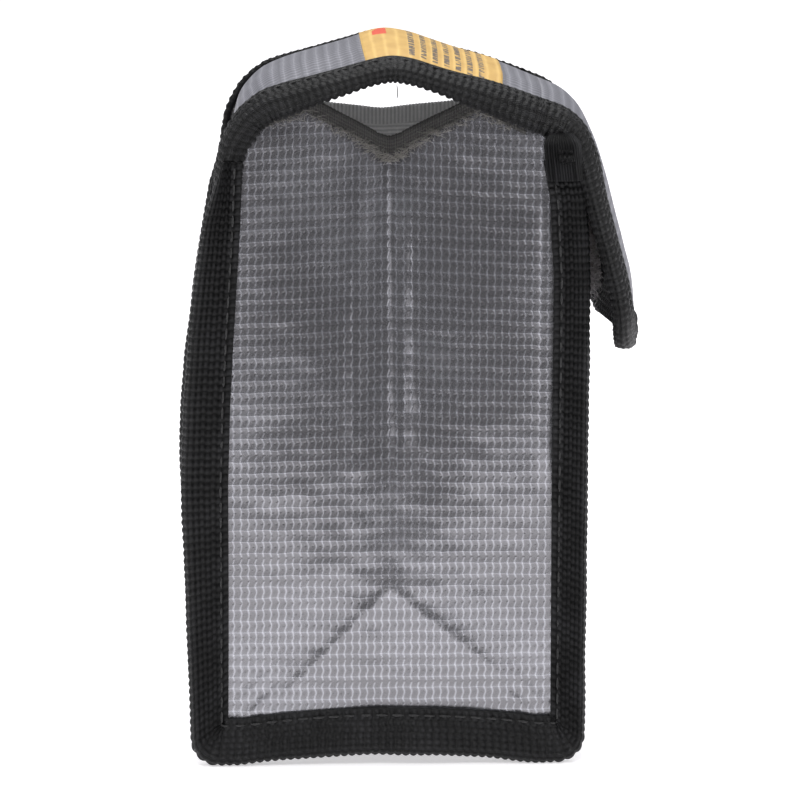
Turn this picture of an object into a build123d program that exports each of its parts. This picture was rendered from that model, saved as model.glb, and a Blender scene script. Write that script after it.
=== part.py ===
from build123d import *
import math
import os

os.makedirs("parts", exist_ok=True)

# A soft fire-resistant battery bag that stands on its base, with a cloth lid that folds over the mouth.
# X runs from the back wall to the front wall, Y from the near end to the far end, and Z is up.
# The origin is on the surface that the bag stands on, under the middle of the whole object.

# --- overall sizes, mm ---
bag_width = 62.0  # outer face of the back wall to outer face of the front wall
bag_depth = 50.0  # outer face to outer face of the two end panels
base_height = 7.2  # underside of the bag's floor above the surface
front_height = 115.0  # top edge of the front wall
back_rise = 5.0  # the back wall's top fold stands this far above that
crown_rise = 8.7  # and the highest line of the lid's cloth this far above the fold
shoulder_rise = 3.0  # the lid turns down over the front this far above the front wall
tongue_drop = 33.4  # from that shoulder down to where the tongue hangs straight
tongue_tip_drop = 7.4  # and on down to the lower edge of its cloth

# --- cloth, tape and thread ---
cover_t = 0.6  # silver laminated glass cloth
lining_t = 0.5  # plain glass cloth
tape_t = 0.9  # ribbed binding tape
tape_w = 9.2  # width of the tape that shows on each face, half of the flat tape
thread_w = 0.5
thread_t = 0.2
label_t = 0.25
loop_t = 2.2  # woven backing and the loops' pile
hook_t = 1.2
hem_w = 3.6  # depth of the narrow woven tape on the mouth's edges
hem_t = 0.6

# --- seams ---
back_fin = 7.2  # the bound seams stand out this far from the back wall and the base
back_fin_top = 3.4  # and this far where they end under the lid's fold
front_fin = 4.7  # and this far from the front wall
seam_short = 8.0  # the back seam's binding ends this far under the lid's fold
corner_r = 5.0  # outer radius of the binding at the base's corners
least_corner_r = 0.8
tape_end_length = 5.0  # the doubled end of the tape at the top of a front seam
tape_end_step = 1.0  # and it stands this much less far out than the seam
stitch_inset = 1.3  # from the tape's inner edge

# --- set of the walls ---
back_bend_drop = 37.0  # the back wall leans in from this far under the front wall's top edge
back_lean = 3.4
front_bend_drop = 27.0
front_lean = 2.0
front_bulge = 4.5  # the front wall's middle bows out by this much
back_bulge = 2.0
bulge_drop = 20.0  # the walls bow out the most this far under the front wall's top edge
bulge_settle = 0.5  # share of the bow that is gone at the top
fold_height = 33.0  # an end panel is creased inwards above here
near_pinch = 11.0  # the crease's top stands in by this much on the near panel
far_pinch = 6.5
mouth_side = 15.0  # the end panels' top edges rise to a peak this far each side of the crease
mouth_dip = 6.5  # and dip this far at the crease, near end
far_mouth_dip = 2.5
mouth_corner = 2.4  # corners of the end panels stand this far under the lid's tape

# --- touch fastener and label ---
loop_w = 20.0  # upright
loop_half = 17.0  # half its length along Y
hook_w = 17.0
hook_margin = 1.0  # from the hook strip's ends to the tongue's tape
label_back = 4.6  # the label starts this far behind the crown's line
label_front = 20.0
label_margin = 0.4  # from the label to the lid's tapes

# --- folds and clearances ---
fold_gap = 1.2  # cloth starts this far from a fold's axis
lid_tape_gap = 2.2  # the lid's tape starts this far from a fold's axis
tongue_tape_gap = 4.0
crown_r = 10.0  # rounding of the lid's crown
tongue_r = 14.0
tongue_corner_r = 10.0  # outer radius of the tongue's two corners
lid_clear = 0.5  # air between the lid and the mouth's edges
shoulder_in = 1.4  # the shoulder's fold stands this far inside the front seam's edge
touch_clear = 1.2  # air between the hooks and the loops, where the front wall bows out the most
air = 0.2  # between soft pieces that lie side by side
slack = 0.05  # the creased panels never lie quite flat

# --- derived ---
half_width = bag_width / 2
half_depth = bag_depth / 2
back_height = front_height + back_rise
crown_height = back_height + crown_rise
back_bend_height = front_height - back_bend_drop
front_bend_height = front_height - front_bend_drop
bulge_height = front_height - bulge_drop
shoulder_height = front_height + shoulder_rise
tongue_bend_height = shoulder_height - tongue_drop
tongue_tip_height = tongue_bend_height - tongue_tip_drop
lap = tape_w - back_fin  # tape lying inside the wall's line on an end panel
shell_t = cover_t + lining_t
lid_t = shell_t + 2 * tape_t
seam_t = 2 * shell_t  # end panel and wall edge laid together
shoulder_x = half_width + front_fin - shoulder_in
hinge_x = -half_width + back_lean
# the tongue slants out from the shoulder just enough for its hooks to clear the loops
touch_x = half_width + front_bulge + loop_t + touch_clear + hook_t + shell_t
touch_drop = shoulder_height - bulge_height
tongue_x = shoulder_x + (touch_x - shoulder_x) * tongue_drop / touch_drop
# the bag's middle stands off the origin, because the tongue reaches further than the back seam
bag_x = (half_width + back_fin - tongue_x - tape_t) / 2
lid_points = [(hinge_x, back_height), (0, crown_height), (shoulder_x, shoulder_height)]
tongue_points = [
    (shoulder_x, shoulder_height),
    (tongue_x, tongue_bend_height),
    (tongue_x, tongue_tip_height),
]
hook_low = tongue_tip_height - tape_t + tape_w + air  # just above the tape on the tongue's edge
loop_low = hook_low
beyond = bag_depth + front_height  # past everything, for cutting blocks


def end_plane(depth):
    """The upright plane across the bag at this depth: local X is the row's X, local Y is its Z."""
    return Plane(origin=(bag_x, depth, 0), x_dir=(1, 0, 0), z_dir=(0, -1, 0))


def level(height):
    """The flat plane at this height, centred on the bag."""
    return Plane(origin=(bag_x, 0, height))


def back_x(height):
    """The back wall's outer face."""
    share = max(height - back_bend_height, 0) / (back_height - back_bend_height)
    return -half_width + back_lean * share


def front_x(height):
    """The front wall's outer face, at its seams."""
    share = max(height - front_bend_height, 0) / (front_height - front_bend_height)
    return half_width - front_lean * share


def rise(height, start, full):
    """0 up to start and 1 from full, with a smooth step between."""
    share = min(max((height - start) / (full - start), 0), 1)
    return share * share * (3 - 2 * share)


def seam_outline(reach_back, reach_front, front_top, back_top):
    """The line that stands off the back, base and front walls, from the front's top round to the back's."""
    reach_top = reach_back * back_fin_top / back_fin if reach_back > 0 else reach_back
    front_step = min(front_bend_height, front_top)
    return [
        (front_x(front_top) + reach_front, front_top),
        (front_x(front_step) + reach_front, front_step),
        (half_width + reach_front, base_height - reach_back),
        (-half_width - reach_back, base_height - reach_back),
        (-half_width - reach_back, back_bend_height),
        (back_x(back_top) - reach_top, back_top),
    ]


def corner_radius(reach):
    """A corner's radius grows with its distance from the wall's line."""
    return least_corner_r + (corner_r - least_corner_r) * reach / back_fin


def band(inner, outer, depth_low, depth_high, front_top, back_top):
    """A U of cloth or tape in an end's plane, between two distances from the wall's line."""
    shares = [(r, r * front_fin / back_fin if r > 0 else r) for r in (inner, outer)]
    inside = seam_outline(*shares[0], front_top, back_top)
    outside = seam_outline(*shares[1], front_top, back_top)
    with BuildSketch(end_plane(depth_high)) as section:
        with BuildLine():
            Polyline(*outside, *reversed(inside), close=True)
        make_face()
        for reach in (outer, inner):
            if reach > tape_t:
                corners = [v for v in vertices() if abs(v.Y - base_height + reach) < air / 2]
                fillet(corners, corner_radius(reach))
    extrude(section.sketch, amount=depth_high - depth_low)


def both_ends(near, far):
    """A range of depths measured inwards from an end panel's outer face, for the near and the far end."""
    return [(-half_depth + near, -half_depth + far), (half_depth - far, half_depth - near)]


def keep_box(x_low, x_high, z_low, z_high):
    """Keeps only what lies in this box of X and Z."""
    with BuildSketch(end_plane(beyond)) as window:
        with Locations(((x_low + x_high) / 2, (z_low + z_high) / 2)):
            Rectangle(x_high - x_low, z_high - z_low)
    extrude(window.sketch, amount=2 * beyond, mode=Mode.INTERSECT)


def save(piece, name):
    """Labels a finished piece and writes it."""
    piece.part.label = name
    export_step(piece.part, f"parts/{name}.step")


# --- walls: cloth and lining of the front and the back ---
hem_low = front_height - hem_w
middle_height = (fold_height + back_bend_height) / 2
wall_levels = sorted(
    {fold_height / 2, fold_height, middle_height, back_bend_height, front_bend_height, bulge_height}
    | {loop_low, loop_low + loop_w, hem_low, front_height}
)


def wall_sheet(side, inner, outer, half, low, top):
    """A bowed wall between two distances inside its outer face; side is 1 at the front and -1 at the back."""
    bow = front_bulge if side > 0 else back_bulge
    face_x = front_x if side > 0 else back_x
    wall_top = front_height if side > 0 else back_height
    flat = half_depth - seam_t
    steps = [flat * k / 4 for k in range(-4, 5)]
    depths = [-half, *steps, half] if half > flat + air else steps
    heights = [low] + [h for h in wall_levels if low < h < top] + [top]
    sections = []
    for height in heights:
        swell = rise(height, base_height, bulge_height)
        settle = 1 - bulge_settle * rise(height, bulge_height, wall_top)
        line = [
            face_x(height)
            + side * bow * swell * settle * math.cos(math.pi / 2 * min(abs(y) / flat, 1)) ** 2
            for y in depths
        ]
        outside = [(x - side * outer, y) for x, y in zip(line, depths)]
        inside = [(x - side * inner, y) for x, y in zip(line, depths)]
        with BuildSketch(level(height)) as section:
            with BuildLine():
                Polyline(*outside, *reversed(inside), close=True)
            make_face()
        sections.append(section.sketch.face())
    loft(sections, ruled=True)


def seam_edges(inner_end, outer_end, start, front_top, back_top):
    """The wall's edges, turned outwards between the binding tape's two faces."""
    for low, high in both_ends(inner_end, outer_end):
        band(start, back_fin - tape_t, low, high, front_top, back_top)


floor_top = base_height + cover_t
back_seam_top = back_height - seam_short
back_cloth_top = back_height - fold_gap
tape_end_low = front_height - tape_end_length
fin_cloth_top = front_height - tape_t
widest = half_width + back_fin

with BuildPart() as front_panel:
    wall_sheet(1, 0, cover_t, half_depth - seam_t, floor_top, front_height)
    seam_edges(shell_t + lining_t, seam_t, -cover_t, fin_cloth_top, back_seam_top)
    keep_box(half_width / 2, widest, floor_top, back_height)
save(front_panel, "front_panel")

with BuildPart() as back_panel:
    wall_sheet(-1, 0, cover_t, half_depth - seam_t, floor_top, back_cloth_top)
    seam_edges(shell_t + lining_t, seam_t, -cover_t, fin_cloth_top, back_seam_top)
    keep_box(-widest, -half_width / 2, floor_top, back_height)
save(back_panel, "back_panel")

with BuildPart() as bottom_panel:
    with BuildSketch(level(base_height)):
        Rectangle(bag_width, bag_depth - 2 * seam_t)
    extrude(amount=cover_t)
    seam_edges(shell_t + lining_t, seam_t, -cover_t, fin_cloth_top, back_seam_top)
    keep_box(-widest, widest, 0, floor_top)
save(bottom_panel, "bottom_panel")

lining_top = floor_top + lining_t
lining_half = half_depth - shell_t - lining_t

with BuildPart() as front_lining:
    wall_sheet(1, cover_t, shell_t, lining_half, lining_top, front_height)
    seam_edges(shell_t, shell_t + lining_t, -shell_t, fin_cloth_top, back_seam_top)
    keep_box(half_width / 2, widest, lining_top, back_height)
save(front_lining, "front_lining")

with BuildPart() as back_lining:
    wall_sheet(-1, cover_t, shell_t, lining_half, lining_top, back_cloth_top)
    seam_edges(shell_t, shell_t + lining_t, -shell_t, fin_cloth_top, back_seam_top)
    keep_box(-widest, -half_width / 2, lining_top, back_height)
save(back_lining, "back_lining")

with BuildPart() as bottom_lining:
    with BuildSketch(level(floor_top)):
        Rectangle(bag_width - 2 * cover_t, 2 * lining_half)
    extrude(amount=lining_t)
    seam_edges(shell_t, shell_t + lining_t, -shell_t, fin_cloth_top, back_seam_top)
    keep_box(-widest, widest, 0, lining_top)
save(bottom_lining, "bottom_lining")


# --- end panels: creased inwards down the middle, with a dip in the mouth's edge ---
def lid_underside(x):
    """Height of the lid tape's underside over this place across the bag."""
    if x < 0:
        slope = (crown_height - back_height) / -hinge_x
        return crown_height + slope * x - lid_t / math.cos(math.atan(slope)) + tape_t
    slope = (crown_height - shoulder_height) / shoulder_x
    return crown_height - slope * x - lid_t / math.cos(math.atan(slope)) + tape_t


mouth_height = front_height - 3 * hem_w
# an end panel lies flat as far in as its tape and the walls' cloth reach
crease_start = max(lap, shell_t) + air
crease_levels = [fold_height, middle_height, back_bend_height, front_bend_height, mouth_height]


def mouth_edge(dip, above):
    """The end panel's top edge from back to front, raised by above: corner, peak, dip, peak, corner."""
    room = lid_clear + hem_t
    back_corner = hinge_x + lap
    front_corner = half_width - front_lean - lap
    return [
        (back_corner, lid_underside(back_corner) - mouth_corner + above),
        (-mouth_side, lid_underside(-mouth_side) - room + above),
        (0, lid_underside(-mouth_side) - room - dip + above),
        (mouth_side, lid_underside(mouth_side) - room + above),
        (front_corner, front_height - tape_t + above),
    ]


def end_sheet(side, inner, outer, pinch):
    """A creased panel between two depths inside the end's face; side is -1 at the near end."""
    middle = side * (half_depth - (inner + outer) / 2)
    with BuildSketch(level(0)) as flat:
        with Locations((0, middle)):
            Rectangle(2 * widest, outer - inner)
    extrude(flat.sketch, amount=fold_height)
    sections = []
    for height in [*crease_levels, crown_height]:
        edge_height = min(height, front_height)
        back_edge = back_x(min(height, back_height)) + crease_start
        front_edge = front_x(edge_height) - crease_start
        crease = slack + pinch * rise(height, fold_height, crown_height)
        across = [-widest, back_edge, 0, front_edge, widest]
        set_in = [0, 0, crease, 0, 0]
        outside = [(x, side * (half_depth - d - outer)) for x, d in zip(across, set_in)]
        inside = [(x, side * (half_depth - d - inner)) for x, d in zip(across, set_in)]
        with BuildSketch(level(height)) as section:
            with BuildLine():
                Polyline(*outside, *reversed(inside), close=True)
            make_face()
        sections.append(section.sketch.face())
    loft(sections, ruled=True)


def end_outline(dip):
    """Cuts a panel to its pattern: the seam's outline, and the mouth's edge on top."""
    reach = back_fin - tape_t
    sides = seam_outline(reach, reach * front_fin / back_fin, fin_cloth_top, back_seam_top)
    top = mouth_edge(dip, 0)
    with BuildSketch(end_plane(beyond)) as pattern:
        with BuildLine():
            Polyline(*sides, *top, close=True)
        make_face()
        fillet(vertices().group_by(Axis.Y)[0], corner_radius(reach))
    extrude(pattern.sketch, amount=2 * beyond, mode=Mode.INTERSECT)


def make_end(side, dip, pinch, word):
    """An end panel, its lining and the narrow tape over its top edge."""
    with BuildPart() as panel:
        end_sheet(side, 0, cover_t, pinch)
        end_outline(dip)
    save(panel, f"{word}_end_panel")

    with BuildPart() as lining:
        end_sheet(side, cover_t, shell_t, pinch)
        end_outline(dip)
    save(lining, f"{word}_end_lining")

    low_edge = mouth_edge(dip, -hem_w)[1:-1]
    high_edge = mouth_edge(dip, hem_t)[1:-1]
    with BuildPart() as hem:
        end_sheet(side, -hem_t, shell_t + hem_t, pinch)
        with BuildSketch(end_plane(beyond)) as edge:
            with BuildLine():
                Polyline(*high_edge, *reversed(low_edge), close=True)
            make_face()
        extrude(edge.sketch, amount=2 * beyond, mode=Mode.INTERSECT)
        add(panel.part, mode=Mode.SUBTRACT)
        add(lining.part, mode=Mode.SUBTRACT)
    save(hem, f"{word}_end_hem")


make_end(-1, mouth_dip, near_pinch, "near")
make_end(1, far_mouth_dip, far_pinch, "far")

# --- front wall's own hem, between the two seams ---
hem_half = half_depth - seam_t - 2 * tape_t - air
with BuildPart() as front_hem:
    wall_sheet(1, -hem_t, shell_t + hem_t, half_depth - seam_t, hem_low, front_height + hem_t)
    with BuildSketch(level(0)) as between:
        Rectangle(2 * widest, 2 * hem_half)
    extrude(between.sketch, amount=2 * beyond, mode=Mode.INTERSECT)
    add(front_panel.part, mode=Mode.SUBTRACT)
    add(front_lining.part, mode=Mode.SUBTRACT)
save(front_hem, "front_hem")

# --- binding tape round the two end seams, its doubled ends, and its thread ---
for word, side in (("near", -1), ("far", 1)):
    pick = (side + 1) // 2
    outer_face = both_ends(-tape_t, 0)[pick]
    edge_zone = both_ends(0, seam_t)[pick]
    inner_face = both_ends(seam_t, seam_t + tape_t)[pick]
    thread_zone = both_ends(-tape_t - thread_t, -tape_t)[pick]
    edge_start = back_fin - tape_t

    with BuildPart() as binding:
        band(-lap, back_fin, *outer_face, tape_end_low, back_seam_top)
        band(edge_start, back_fin, *edge_zone, tape_end_low, back_seam_top)
        band(air, back_fin, *inner_face, tape_end_low, back_seam_top)
    save(binding, f"{word}_binding")

    with BuildPart() as tape_end:
        band(-lap, back_fin, *both_ends(-2 * tape_t, 0)[pick], front_height, back_seam_top)
        band(edge_start, back_fin, *edge_zone, front_height, back_seam_top)
        band(air, back_fin, *both_ends(seam_t, seam_t + 2 * tape_t)[pick], front_height, back_seam_top)
        with BuildSketch(end_plane(edge_zone[1])) as cap:
            with Locations((front_x(front_height) + front_fin / 2, front_height - tape_t / 2)):
                Rectangle(front_fin, tape_t)
        extrude(cap.sketch, amount=seam_t)
        end_reach = front_fin - tape_end_step
        keep_box(half_width / 2, front_x(front_height) + end_reach, tape_end_low, front_height)
    save(tape_end, f"{word}_tape_end")

    with BuildPart() as seam_thread:
        thread_in = -lap + stitch_inset
        band(thread_in, thread_in + thread_w, *thread_zone, tape_end_low, back_seam_top)
    save(seam_thread, f"{word}_seam_thread")

# --- loops on the front wall ---
with BuildPart() as loop_patch:
    wall_sheet(1, -loop_t, 0, half_depth - seam_t, loop_low, loop_low + loop_w)
    with BuildSketch(level(0)) as length:
        Rectangle(2 * widest, 2 * loop_half)
    extrude(length.sketch, amount=2 * beyond, mode=Mode.INTERSECT)
save(loop_patch, "loop_patch")


# --- lid and tongue: strips of the same cloth, bound along their free edges ---
def trimmed(points, start_gap, end_gap):
    """The same line, with its two ends moved along it; a negative gap makes it longer."""
    first, second = Vector(*points[0]), Vector(*points[1])
    last, before = Vector(*points[-1]), Vector(*points[-2])
    start = first + (second - first).normalized() * start_gap
    end = last + (before - last).normalized() * end_gap
    return [(start.X, start.Y), *points[1:-1], (end.X, end.Y)]


def half_layer(points, radius, reach, low, high, mode):
    """The cloth between the line and this distance from it, outwards if positive, between two depths."""
    with BuildSketch(end_plane(high)) as section:
        with BuildLine():
            FilletPolyline(*points, radius=radius)
            offset(amount=abs(reach), side=Side.LEFT if reach > 0 else Side.RIGHT)
        make_face()
    extrude(section.sketch, amount=high - low, mode=mode)


def layer(points, radius, inner, outer, low, high):
    """A layer of the lid or the tongue between two distances from its cloth's outer face."""
    if outer > 0:
        half_layer(points, radius, outer, low, high, Mode.ADD)
    if inner < 0:
        half_layer(points, radius, inner, low, high, Mode.ADD)
    if outer < 0:
        half_layer(points, radius, outer, low, high, Mode.SUBTRACT)


lid_cloth = trimmed(lid_points, fold_gap, fold_gap)
lid_tape = trimmed(lid_points, lid_tape_gap, lid_tape_gap)
tape_inside = half_depth + tape_t - tape_w  # from the middle to the tape's inner edge
hook_half = tape_inside - hook_margin
label_half = tape_inside - label_margin

with BuildPart() as lid_panel:
    layer(lid_cloth, crown_r, -cover_t, 0, -half_depth, half_depth)
save(lid_panel, "lid_panel")

with BuildPart() as lid_lining:
    layer(lid_cloth, crown_r, -shell_t, -cover_t, -half_depth, half_depth)
save(lid_lining, "lid_lining")

for word, side in (("near", -1), ("far", 1)):
    edges = sorted((side * (half_depth + tape_t), side * tape_inside))
    with BuildPart() as lid_binding:
        layer(lid_tape, crown_r, -shell_t - tape_t, tape_t, *edges)
        add(lid_panel.part, mode=Mode.SUBTRACT)
        add(lid_lining.part, mode=Mode.SUBTRACT)
    save(lid_binding, f"lid_{word}_binding")

    stitch_line = tape_inside + stitch_inset
    edges = sorted((side * stitch_line, side * (stitch_line + thread_w)))
    with BuildPart() as lid_thread:
        half_layer(lid_tape, crown_r, tape_t + thread_t, *edges, Mode.ADD)
        half_layer(lid_tape, crown_r, tape_t, *edges, Mode.SUBTRACT)
    save(lid_thread, f"lid_{word}_thread")

with BuildPart() as label:
    layer(lid_cloth, crown_r, 0, label_t, -label_half, label_half)
    keep_box(-label_back, label_front, 0, 2 * crown_height)
save(label, "label")

tongue_cloth = trimmed(tongue_points, fold_gap, 0)
tongue_tape = trimmed(tongue_points, tongue_tape_gap, -tape_t)


def tongue_outline(inset, mode):
    """Cuts the tongue to its outline, this far inside the tape's outer edge, with two rounded corners."""
    half = half_depth + tape_t - inset
    low = tongue_tip_height - tape_t + inset
    high = shoulder_height + tape_w
    with BuildSketch(Plane.YZ) as pattern:
        with Locations((0, (low + high) / 2)):
            Rectangle(2 * half, high - low)
        fillet(vertices().group_by(Axis.Y)[0], max(tongue_corner_r - inset, least_corner_r))
    extrude(pattern.sketch, amount=beyond, mode=mode)


with BuildPart() as tongue_panel:
    layer(tongue_cloth, tongue_r, -cover_t, 0, -half_depth, half_depth)
    tongue_outline(tape_t, Mode.INTERSECT)
save(tongue_panel, "tongue_panel")

with BuildPart() as tongue_lining:
    layer(tongue_cloth, tongue_r, -shell_t, -cover_t, -half_depth, half_depth)
    tongue_outline(tape_t, Mode.INTERSECT)
save(tongue_lining, "tongue_lining")

with BuildPart() as tongue_binding:
    tape_edge = half_depth + tape_t
    layer(tongue_tape, tongue_r, -shell_t - tape_t, tape_t, -tape_edge, tape_edge)
    tongue_outline(0, Mode.INTERSECT)
    tongue_outline(tape_w, Mode.SUBTRACT)
    add(tongue_panel.part, mode=Mode.SUBTRACT)
    add(tongue_lining.part, mode=Mode.SUBTRACT)
save(tongue_binding, "tongue_binding")

with BuildPart() as tongue_thread:
    half_layer(tongue_tape, tongue_r, tape_t + thread_t, -half_depth, half_depth, Mode.ADD)
    half_layer(tongue_tape, tongue_r, tape_t, -half_depth, half_depth, Mode.SUBTRACT)
    tongue_outline(tape_w - stitch_inset - thread_w, Mode.INTERSECT)
    tongue_outline(tape_w - stitch_inset, Mode.SUBTRACT)
save(tongue_thread, "tongue_thread")

with BuildPart() as hook_strip:
    layer(tongue_cloth, tongue_r, -shell_t - hook_t, -shell_t, -hook_half, hook_half)
    keep_box(0, beyond, hook_low, hook_low + hook_w)
save(hook_strip, "hook_strip")

print("lid_lift axis at", round(bag_x + hinge_x, 4), back_height)
print("tongue_fold axis at", round(bag_x + shoulder_x, 4), shoulder_height)
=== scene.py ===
import math

import bpy
import numpy as np
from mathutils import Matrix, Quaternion, Vector


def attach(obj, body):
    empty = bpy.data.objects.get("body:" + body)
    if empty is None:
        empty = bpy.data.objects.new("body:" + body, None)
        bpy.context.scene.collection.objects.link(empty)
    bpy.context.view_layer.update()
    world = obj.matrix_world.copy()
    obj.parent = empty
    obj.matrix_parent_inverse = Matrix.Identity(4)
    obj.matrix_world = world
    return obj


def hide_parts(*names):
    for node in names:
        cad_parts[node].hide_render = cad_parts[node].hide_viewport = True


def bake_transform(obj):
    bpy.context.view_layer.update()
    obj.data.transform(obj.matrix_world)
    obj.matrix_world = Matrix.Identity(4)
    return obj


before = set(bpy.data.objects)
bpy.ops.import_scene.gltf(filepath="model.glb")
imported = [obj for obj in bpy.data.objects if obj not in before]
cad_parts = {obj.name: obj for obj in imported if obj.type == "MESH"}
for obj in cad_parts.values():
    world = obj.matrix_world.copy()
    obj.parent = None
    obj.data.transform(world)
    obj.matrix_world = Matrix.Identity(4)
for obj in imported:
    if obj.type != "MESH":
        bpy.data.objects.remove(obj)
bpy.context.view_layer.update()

# ---- Camera, floor and light ----
# A long lens looks a little down on the near end of the bag. The floor is plain and pale, and soft boxes
# stand over, beside and in front of the bag, inside a dim tent. Cards that only shine back from glossy
# cloth give it its tones.
camera = bpy.data.objects.new("camera", bpy.data.cameras.new("camera"))
camera.data.lens = 200.5
camera.location = (-0.0457, -0.8068, 0.2246)
turn_right, look_down, roll = 0.0560, 0.1977, 0.0049
level_part = math.cos(look_down)
looking = Vector((math.sin(turn_right) * level_part, math.cos(turn_right) * level_part, -math.sin(look_down)))
camera.rotation_mode = "QUATERNION"
camera.rotation_quaternion = looking.to_track_quat("-Z", "Y") @ Quaternion((0, 0, 1), roll)
camera.data.clip_end = 50
bpy.context.scene.collection.objects.link(camera)
bpy.context.scene.camera = camera
bpy.context.scene.view_settings.view_transform = "Standard"


def flat_card(name, low, high, colour, glow=0.0):
    """A level or upright rectangle between two opposite corners, in one matt colour, lit from within by
    glow."""
    (x0, y0, z0), (x1, y1, z1) = low, high
    corners = [(x0, y0, z0), (x1, y0, z0), (x1, y1, z1), (x0, y1, z1)]
    mesh = bpy.data.meshes.new(name)
    mesh.from_pydata(corners, [], [(0, 1, 2, 3)])
    card = bpy.data.objects.new(name, mesh)
    bpy.context.scene.collection.objects.link(card)
    matt = bpy.data.materials.new(name)
    matt.use_nodes = True
    principled = matt.node_tree.nodes["Principled BSDF"]
    principled.inputs["Base Color"].default_value = (*colour, 1)
    principled.inputs["Roughness"].default_value = 0.9
    principled.inputs["Emission Color"].default_value = (1, 0.99, 1, 1)
    principled.inputs["Emission Strength"].default_value = glow
    mesh.materials.append(matt)
    return card


flat_card("floor", (-4, -4, 0), (4, 4, 0), (0.85, 0.84, 0.855), 0.5)
for name, low, high in (
    ("dark_floor_in_front", (-1.2, -1.6, 0.002), (1.2, -0.30, 0.002)),
    ("dark_wall_in_front", (-1.6, -1.6, 0.002), (1.6, -1.6, 0.24)),
):
    card = flat_card(name, low, high, (0.045, 0.045, 0.05))
    card.visible_camera = card.visible_diffuse = card.visible_shadow = False
pale_card = flat_card("pale_card_in_front", (-0.26, -1.62, 0.25), (0.26, -1.62, 0.8), (0.8, 0.8, 0.82), 0.8)
pale_card.visible_camera = pale_card.visible_diffuse = False

world = bpy.data.worlds.new("light_tent")
bpy.context.scene.world = world
world.use_nodes = True
tent, output = world.node_tree.nodes["Background"], world.node_tree.nodes["World Output"]
tent.inputs["Color"].default_value = (0.95, 0.96, 1.0, 1)
tent.inputs["Strength"].default_value = 0.26
white_wall = world.node_tree.nodes.new("ShaderNodeBackground")
white_wall.inputs["Color"].default_value = (0.965, 0.955, 0.975, 1)
seen_direct = world.node_tree.nodes.new("ShaderNodeLightPath")
behind = world.node_tree.nodes.new("ShaderNodeMixShader")
world.node_tree.links.new(seen_direct.outputs["Is Camera Ray"], behind.inputs[0])
world.node_tree.links.new(tent.outputs[0], behind.inputs[1])
world.node_tree.links.new(white_wall.outputs[0], behind.inputs[2])
world.node_tree.links.new(behind.outputs[0], output.inputs["Surface"])

# each one's name, place, width and power in watts
softboxes = (
    ("softbox_over", (0, 0.45, 1.3), 1.2, 13.0),
    ("softbox_left", (-1.0, 0.05, 0.5), 0.8, 4.5),
    ("softbox_right", (1.0, 0.0, 0.55), 0.7, 4.5),
    ("softbox_front", (-0.1, -0.85, 1.2), 0.45, 9.0),
)
bag_middle = Vector((0, 0, 0.08))
for name, place, width, power in softboxes:
    lamp = bpy.data.lights.new(name, "AREA")
    lamp.size, lamp.energy = width, power
    softbox = bpy.data.objects.new(name, lamp)
    softbox.location = place
    softbox.rotation_mode = "QUATERNION"
    softbox.rotation_quaternion = (bag_middle - Vector(place)).to_track_quat("-Z", "Y")
    bpy.context.scene.collection.objects.link(softbox)

# ---- The cloth strip: front wall, base, back wall, lid and tongue ----
# One strip of laminated glass cloth runs down the front, under the base, up the back, over the mouth and
# down again as the tongue, with a plain glass lining inside it. Lengths are in millimetres from the bag's
# own middle until a mesh is made.
bag_x = -3.51
cover_t, lining_t = 0.6, 0.5
strip_line = [
    (28.9, 115), (30.2, 104), (31, 90), (31, 60), (31, 30), (31, 11), (30.4, 8.4), (27.5, 7.4), (15, 8.2), (0, 8.6),
    (-15, 8.2), (-27.5, 7.4), (-30.4, 8.4), (-31, 11), (-31.2, 30), (-31.3, 52), (-30.9, 67), (-30.1, 80),
    (-29.5, 90), (-28.9, 100), (-28.6, 108), (-28.2, 114), (-26.6, 119), (-23, 122.4), (-17.5, 124.4),
    (-10, 126.8), (-4, 128.6), (0, 129.4), (4, 128.8), (10, 126.8), (18, 124.0), (26, 121.2), (31, 119.2),
    (34.2, 116.4), (36.6, 111), (39, 103), (41.2, 95), (43.2, 88), (44, 82.4), (43.2, 75.8),
]


def smooth_line(corners, step, soften):
    """A line through corners at even steps, each point the mean of its neighbours within soften on either
    side."""
    corners = np.array(corners, float)
    lengths = np.concatenate([[0], np.cumsum(np.linalg.norm(np.diff(corners, axis=0), axis=1))])
    at = np.linspace(0, lengths[-1], int(lengths[-1] / step) + 1)
    line = np.stack([np.interp(at, lengths, corners[:, k]) for k in range(2)], 1)
    reach = max(int(soften / step), 1)
    weights = np.hanning(2 * reach + 3)[1:-1]
    ends = 2 * line[0] - line[reach:0:-1], 2 * line[-1] - line[-2:-reach - 2:-1]
    padded = np.concatenate([ends[0], line, ends[1]])
    return np.stack([np.convolve(padded[:, k], weights / weights.sum(), "valid") for k in range(2)], 1)


strip = smooth_line(strip_line, 0.25, 3.0)
strip_s = np.concatenate([[0], np.cumsum(np.linalg.norm(np.diff(strip, axis=0), axis=1))])
strip_along = np.gradient(strip, strip_s, axis=0)
strip_out = np.stack([-strip_along[:, 1], strip_along[:, 0]], 1)


def place_on_strip(x, z):
    """Distance along the strip of its nearest point to this one."""
    return strip_s[np.argmin(np.hypot(strip[:, 0] - x, strip[:, 1] - z))]


back_low, back_top = place_on_strip(-31, 12), place_on_strip(-28.4, 111)
front_low = place_on_strip(31, 12)
lid_start, lid_full = place_on_strip(-28, 116), place_on_strip(-18, 124)
lid_end, crown = place_on_strip(27, 120.4), place_on_strip(0, 129)
strip_end = strip_s[-1]
tongue_r = 10.0
far_lean = 1.7


def smooth_step(value, start, full):
    """0 up to start and 1 from full, with a smooth step between."""
    share = np.clip((value - start) / (full - start), 0, 1)
    return share * share * (3 - 2 * share)


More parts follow.
